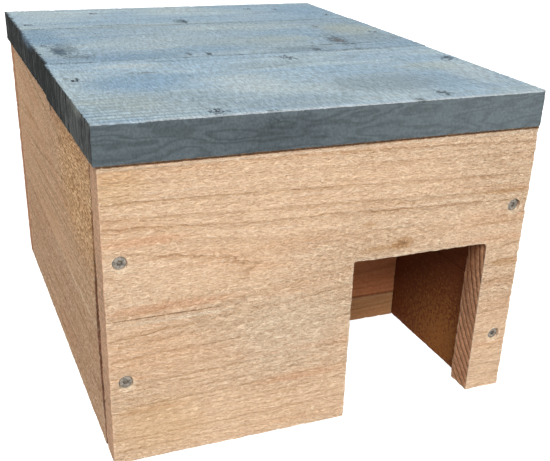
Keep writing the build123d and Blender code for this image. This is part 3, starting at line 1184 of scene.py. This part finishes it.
def roughen(piece, cut):
    """An even mesh with sharp edges, rippled along the grain and chipped along the edges."""
    wood = settings().wood
    share = max(piece.dimensions) / (2**OCTREE_DEPTH * cut.voxel)
    apply_modifier(piece, "REMESH", mode="SHARP", octree_depth=OCTREE_DEPTH, scale=share)
    select_only(piece)
    modifier = piece.modifiers.new("Rough sawn", "NODES")
    modifier.node_group = bpy.data.node_groups["Rough sawn"]
    along, _, across = RIPPLES.waves
    values = {
        "Stretch": [float(along if axis == cut.axes[0] else across) for axis in "XYZ"],
        "Grain": [float(axis == cut.axes[0]) for axis in "XYZ"],
        "Seed": float(cut.seed),
        "Ripple": wood.ripple_height * cut.ripple,
        "Chips": wood.chip_depth,
    }
    for socket in modifier.node_group.interface.items_tree:
        if socket.in_out == "INPUT" and socket.name in values:
            modifier[socket.identifier] = values[socket.name]
    bpy.ops.object.modifier_apply(modifier=modifier.name)
    bpy.ops.object.shade_smooth_by_angle(angle=BOARD_EDGE)


def finish_board(piece, node):
    """Drills, roughens and paints a board, and puts it in the place of its solid."""
    cut = BOARDS[node]
    drill(piece, node)
    roughen(piece, cut)
    stained = node.startswith("roof")
    paint(piece, stained_wood(node, cut) if stained else raw_wood(node, cut))
    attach(piece, "root")
    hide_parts(node)


def plain_board(node):
    """A board with nothing cut out of it but screw holes."""
    return add_block(f"{node}_sawn", *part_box(node))


class HEDGEHOG_OT_front_board(bpy.types.Operator):
    """Models the front board with its entrance"""

    bl_idname = "hedgehog.front_board"
    bl_label = "Front Board"

    corner_radius: length_setting("Corner", "Rounding at the top right of the entrance", 0.004)

    def execute(self, context):
        high = Vector((ENTRANCE_LEFT, FRONT_HIGH.y, FRONT_HIGH.z))
        piece = add_block("front_board_sawn", FRONT_LOW, high)
        start_edit(piece, "FACE")
        bpy.ops.mesh.select_all(action="SELECT")
        bpy.ops.mesh.bisect(plane_co=(0, 0, ENTRANCE_TOP), plane_no=(0, 0, 1))
        for reach in (ENTRANCE_RIGHT - ENTRANCE_LEFT, FRONT_HIGH.x - ENTRANCE_RIGHT):
            right = max(v.co.x for v in bmesh.from_edit_mesh(piece.data).verts)
            pick(
                piece,
                "FACE",
                lambda f: near(f.calc_center_median().x, right) and f.calc_center_median().z > ENTRANCE_TOP,
            )
            bpy.ops.mesh.extrude_region_move(TRANSFORM_OT_translate={"value": (reach, 0, 0)})
        pick(piece, "FACE", lambda f: f.normal.z < -STRAIGHT and f.calc_center_median().x > ENTRANCE_RIGHT)
        bpy.ops.mesh.extrude_region_move(TRANSFORM_OT_translate={"value": (0, 0, GROUND - ENTRANCE_TOP)})
        round_edge(piece, self.corner_radius, x=ENTRANCE_RIGHT, z=ENTRANCE_TOP)
        finish_board(piece, "front_board")
        return {"FINISHED"}


class HEDGEHOG_OT_back_board(bpy.types.Operator):
    """Models the back board"""

    bl_idname = "hedgehog.back_board"
    bl_label = "Back Board"

    def execute(self, context):
        finish_board(plain_board("back_board"), "back_board")
        return {"FINISHED"}


class HEDGEHOG_OT_side_boards(bpy.types.Operator):
    """Models the two boards of each side, the left ones with front ends that were cut out of square"""

    bl_idname = "hedgehog.side_boards"
    bl_label = "Side Boards"

    joint_gap: length_setting(
        "Joint gap", "Open joint behind the front board where two side boards meet", 0.011
    )
    foot_gap: length_setting("Foot gap", "Open joint behind the front board at the ground", 0.003)

    def execute(self, context):
        gaps = {
            "left_lower_board": (self.joint_gap, self.foot_gap),
            "left_upper_board": (0, self.joint_gap),
        }
        for node in ("left_lower_board", "left_upper_board", "right_lower_board", "right_upper_board"):
            piece = plain_board(node)
            if node in gaps:
                low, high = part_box(node)
                start_edit(piece, "VERT")
                for height, gap in zip((high.z, low.z), gaps[node]):
                    pick(piece, "VERT", lambda v: near(v.co.y, low.y) and near(v.co.z, height))
                    bpy.ops.transform.translate(value=(0, gap, 0))
                end_edit()
            finish_board(piece, node)
        return {"FINISHED"}


class HEDGEHOG_OT_cross_wall(bpy.types.Operator):
    """Models the inner cross wall of three boards"""

    bl_idname = "hedgehog.cross_wall"
    bl_label = "Cross Wall"

    def execute(self, context):
        for node in ("partition_strip", "partition_middle_board", "partition_top_board"):
            finish_board(plain_board(node), node)
        return {"FINISHED"}


class HEDGEHOG_OT_roof_planks(bpy.types.Operator):
    """Models the three roof planks, the front one with a worn corner"""

    bl_idname = "hedgehog.roof_planks"
    bl_label = "Roof Planks"

    corner_radius: length_setting("Corner", "Rounding of the worn corner", 0.004)

    def execute(self, context):
        for node in ("roof_front_plank", "roof_middle_plank", "roof_back_plank"):
            piece = plain_board(node)
            if node == "roof_front_plank":
                low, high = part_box(node)
                round_edge(piece, self.corner_radius, x=high.x, y=low.y)
            finish_board(piece, node)
        return {"FINISHED"}


# Screws

STAR_ARMS = 6
STAR_FOOT = 0.7  # share of the recess's width at its foot
SHANK_TAPER = 0.9
SHANK_TIP = 0.1
SCREW_EDGE = math.radians(35)  # sharpest angle that is shaded smooth
TURN_SEED = 5
RECESS_SLACK = 1.01  # share of the recess's depth that still counts as recess
RIM_SHARE = 0.25


class HEDGEHOG_OT_screws(bpy.types.Operator):
    """Models one countersunk screw with a star recess and sets a copy in every hole"""

    bl_idname = "hedgehog.screws"
    bl_label = "Screws"

    recess_core: length_setting("Recess core", "Radius of the middle of the star recess", 0.0018)
    recess_reach: length_setting("Recess reach", "Length of one arm of the star", 0.0009)
    recess_depth: length_setting("Recess depth", "Depth of the recess", 0.0014)
    rim: length_setting("Rim", "Straight edge of the head", 0.0004)

    def star(self):
        """The cutter of the recess: a six-sided post with six arms, narrower at its foot."""
        clear_selection()
        depth = 2 * self.recess_depth
        bpy.ops.mesh.primitive_cylinder_add(vertices=STAR_ARMS, radius=self.recess_core, depth=depth)
        post = bpy.context.object
        post.name = "recess"
        apply_place(post)
        start_edit(post, "FACE")
        half_turn = math.pi / STAR_ARMS
        flat = self.recess_core * math.cos(half_turn)
        for side in range(STAR_ARMS):
            angle = half_turn * (2 * side + 1)
            way = Vector((math.sin(angle), math.cos(angle), 0))
            pick(
                post,
                "FACE",
                lambda f: f.normal.dot(way) > STRAIGHT and near(f.calc_center_median().length, flat),
            )
            bpy.ops.mesh.extrude_region_move(TRANSFORM_OT_translate={"value": way * self.recess_reach})
        pick(post, "FACE", lambda f: f.normal.z < -STRAIGHT)
        bpy.ops.transform.resize(value=(STAR_FOOT, STAR_FOOT, 1), center_override=(0, 0, -self.recess_depth))
        end_edit()
        return post

    def mark_recess(self, screw):
        """Marks the faces of the recess, which get painted shade."""
        reach = self.recess_core + self.recess_reach
        mark = screw.data.attributes.new("recess", "FLOAT", "FACE")
        for face in screw.data.polygons:
            sunk = -self.recess_depth * RECESS_SLACK < face.center.z < -self.rim * RIM_SHARE
            mark.data[face.index].value = float(sunk and face.center.xy.length < reach)

    def blank(self):
        """A whole screw about Z, with its head's face at the origin."""
        radius, length = screw_sizes(SCREW_NODES[0])
        shank = radius * SHANK_SHARE
        profile = [
            (radius - self.rim, 0),
            (radius, self.rim),
            (radius, 2 * self.rim),
            (shank, 2 * self.rim + radius - shank),
            (shank * SHANK_TAPER, length * SHANK_TAPER),
            (shank * SHANK_TIP, length),
        ]
        screw = turned("screw_blank", profile, settings().screws.sides)
        recess = self.star()
        apply_modifier(screw, "BOOLEAN", operation="DIFFERENCE", object=recess, solver="EXACT")
        bpy.data.objects.remove(recess)
        self.mark_recess(screw)
        return screw

    def execute(self, context):
        screws = settings().screws
        bare = zinc_steel("zinc_steel", screws.steel)
        stained = stained_steel("stained_steel")
        turns = random.Random(TURN_SEED)
        blank = self.blank()
        for node in SCREW_NODES:
            screw = copy_of(blank, f"{node}_turned")
            screw.rotation_euler.z = turns.uniform(0, math.pi)
            apply_place(screw)
            head, facing = screw_head(node)
            stand_at(screw, head - facing * (screw_sink(node) - screws.sink), facing)
            select_only(screw)
            bpy.ops.object.shade_smooth_by_angle(angle=SCREW_EDGE)
            paint(screw, stained if node.startswith("roof") else bare)
            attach(screw, "root")
            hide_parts(node)
        bpy.data.objects.remove(blank)
        return {"FINISHED"}


# Stage

WHITE = (1, 1, 1, 1)


class HEDGEHOG_OT_studio(bpy.types.Operator):
    """Sets the floor, the light and the camera"""

    bl_idname = "hedgehog.studio"
    bl_label = "Studio"

    floor_size: length_setting("Floor size", "Width of the floor", 12.0)
    key_place: place_setting("Key place", "Where the large lamp hangs", (-2.5, -6.25, 6.32))
    aim: place_setting("Aim", "What the lamp points at", (0, 0, 0.12))
    camera_place: place_setting("Camera place", "Where the camera stands", (-0.2777, -0.7719, 0.4221))
    camera_turn: FloatVectorProperty(
        name="Camera turn", description="How the camera is turned", subtype="EULER",
        default=tuple(math.radians(angle) for angle in (63.718, -1.729, -22.147)),
    )

    def seen_directly(self, tree):
        """One for the rays that show a background, nought for those that light the house."""
        rays = put(tree, "ShaderNodeLightPath")
        mirrored = rays["Is Glossy Ray"].most(rays["Is Transmission Ray"])
        return rays["Is Camera Ray"].most(mirrored)

    def add_floor(self, studio):
        """A pale floor that looks white but keeps the shadow of the house."""
        clear_selection()
        bpy.ops.mesh.primitive_plane_add(size=self.floor_size, location=(0, 0, GROUND))
        floor = bpy.context.object
        floor.name = "floor"
        material = bpy.data.materials.new("floor")
        material.use_nodes = True
        tree = material.node_tree
        tree.nodes.remove(tree.nodes["Principled BSDF"])
        matt = put(tree, "ShaderNodeBsdfDiffuse", {"Color": (*studio.floor, 1)})[0]
        glow = put(tree, "ShaderNodeEmission", {"Strength": studio.floor_glow})[0]
        bright = put(tree, "ShaderNodeAddShader", {0: matt, 1: glow})[0]
        shown = put(tree, "ShaderNodeMixShader", {0: self.seen_directly(tree), 1: matt, 2: bright})[0]
        shown.to(tree.nodes["Material Output"].inputs["Surface"])
        paint(floor, material)

    def add_sky(self, studio):
        """Overcast light, stronger from above than from the sides, behind a white background."""
        world = bpy.data.worlds.new("sky")
        bpy.context.scene.world = world
        world.use_nodes = True
        tree = world.node_tree
        light = tree.nodes["Background"]
        light.inputs["Color"].default_value = WHITE
        way = put(tree, "ShaderNodeTexCoord")["Generated"]
        inputs = {"Value": way.parts()[2], "To Min": studio.horizon, "To Max": studio.sky}
        put(tree, "ShaderNodeMapRange", inputs)[0].to(light.inputs["Strength"])
        white = put(tree, "ShaderNodeBackground", {"Color": WHITE, "Strength": 1.0})[0]
        inputs = {0: self.seen_directly(tree), 1: Wire(tree, light.outputs[0]), 2: white}
        shown = put(tree, "ShaderNodeMixShader", inputs)[0]
        shown.to(tree.nodes["World Output"].inputs["Surface"])

    def add_key(self, studio):
        """A large soft lamp above and in front."""
        place = Vector(self.key_place)
        turn = (place - Vector(self.aim)).to_track_quat("Z", "Y").to_euler()
        bpy.ops.object.light_add(type="AREA", location=place, rotation=turn)
        lamp = bpy.context.object
        lamp.name = "key_lamp"
        lamp.data.energy = studio.key_power
        lamp.data.size = studio.key_size

    def add_camera(self, studio):
        """A camera in front of the house, to its left and above it."""
        bpy.ops.object.camera_add(location=self.camera_place, rotation=self.camera_turn)
        camera = bpy.context.object
        camera.data.sensor_fit = "HORIZONTAL"
        camera.data.lens = studio.lens
        camera.data.shift_y = studio.lens_shift
        bpy.context.scene.camera = camera

    def execute(self, context):
        studio = settings().studio
        self.add_floor(studio)
        self.add_sky(studio)
        self.add_key(studio)
        self.add_camera(studio)
        context.scene.view_settings.view_transform = "Standard"
        return {"FINISHED"}


class HEDGEHOG_PT_house(bpy.types.Panel):
    """Lists the steps that dress the house"""

    bl_label = "Hedgehog House"
    bl_idname = "HEDGEHOG_PT_house"
    bl_space_type = "VIEW_3D"
    bl_region_type = "UI"
    bl_category = "Hedgehog House"

    def draw(self, context):
        for step in STEPS:
            self.layout.operator(step.bl_idname)
        for group in ("wood", "stain", "screws", "studio"):
            values = getattr(context.scene.hedgehog_house, group)
            box = self.layout.box()
            for name in values.__annotations__:
                box.prop(values, name)


STEPS = (
    HEDGEHOG_OT_front_board,
    HEDGEHOG_OT_back_board,
    HEDGEHOG_OT_side_boards,
    HEDGEHOG_OT_cross_wall,
    HEDGEHOG_OT_roof_planks,
    HEDGEHOG_OT_screws,
    HEDGEHOG_OT_studio,
)
CLASSES = (HouseWood, HouseStain, HouseScrews, HouseStudio, HouseSettings, *STEPS, HEDGEHOG_PT_house)


def register():
    """Makes the settings, the steps and the panel known."""
    for item in CLASSES:
        bpy.utils.register_class(item)
    bpy.types.Scene.hedgehog_house = PointerProperty(type=HouseSettings)


def unregister():
    """Takes them away again."""
    del bpy.types.Scene.hedgehog_house
    for item in reversed(CLASSES):
        bpy.utils.unregister_class(item)


def main():
    """Dresses the house step by step."""
    register()
    for make in (make_ring_group, make_fibre_group, make_spot_group, make_wash_group, make_rough_group):
        make()
    for step in STEPS:
        category, name = step.bl_idname.split(".")
        getattr(getattr(bpy.ops, category), name)()


if __name__ == "__main__":
    main()
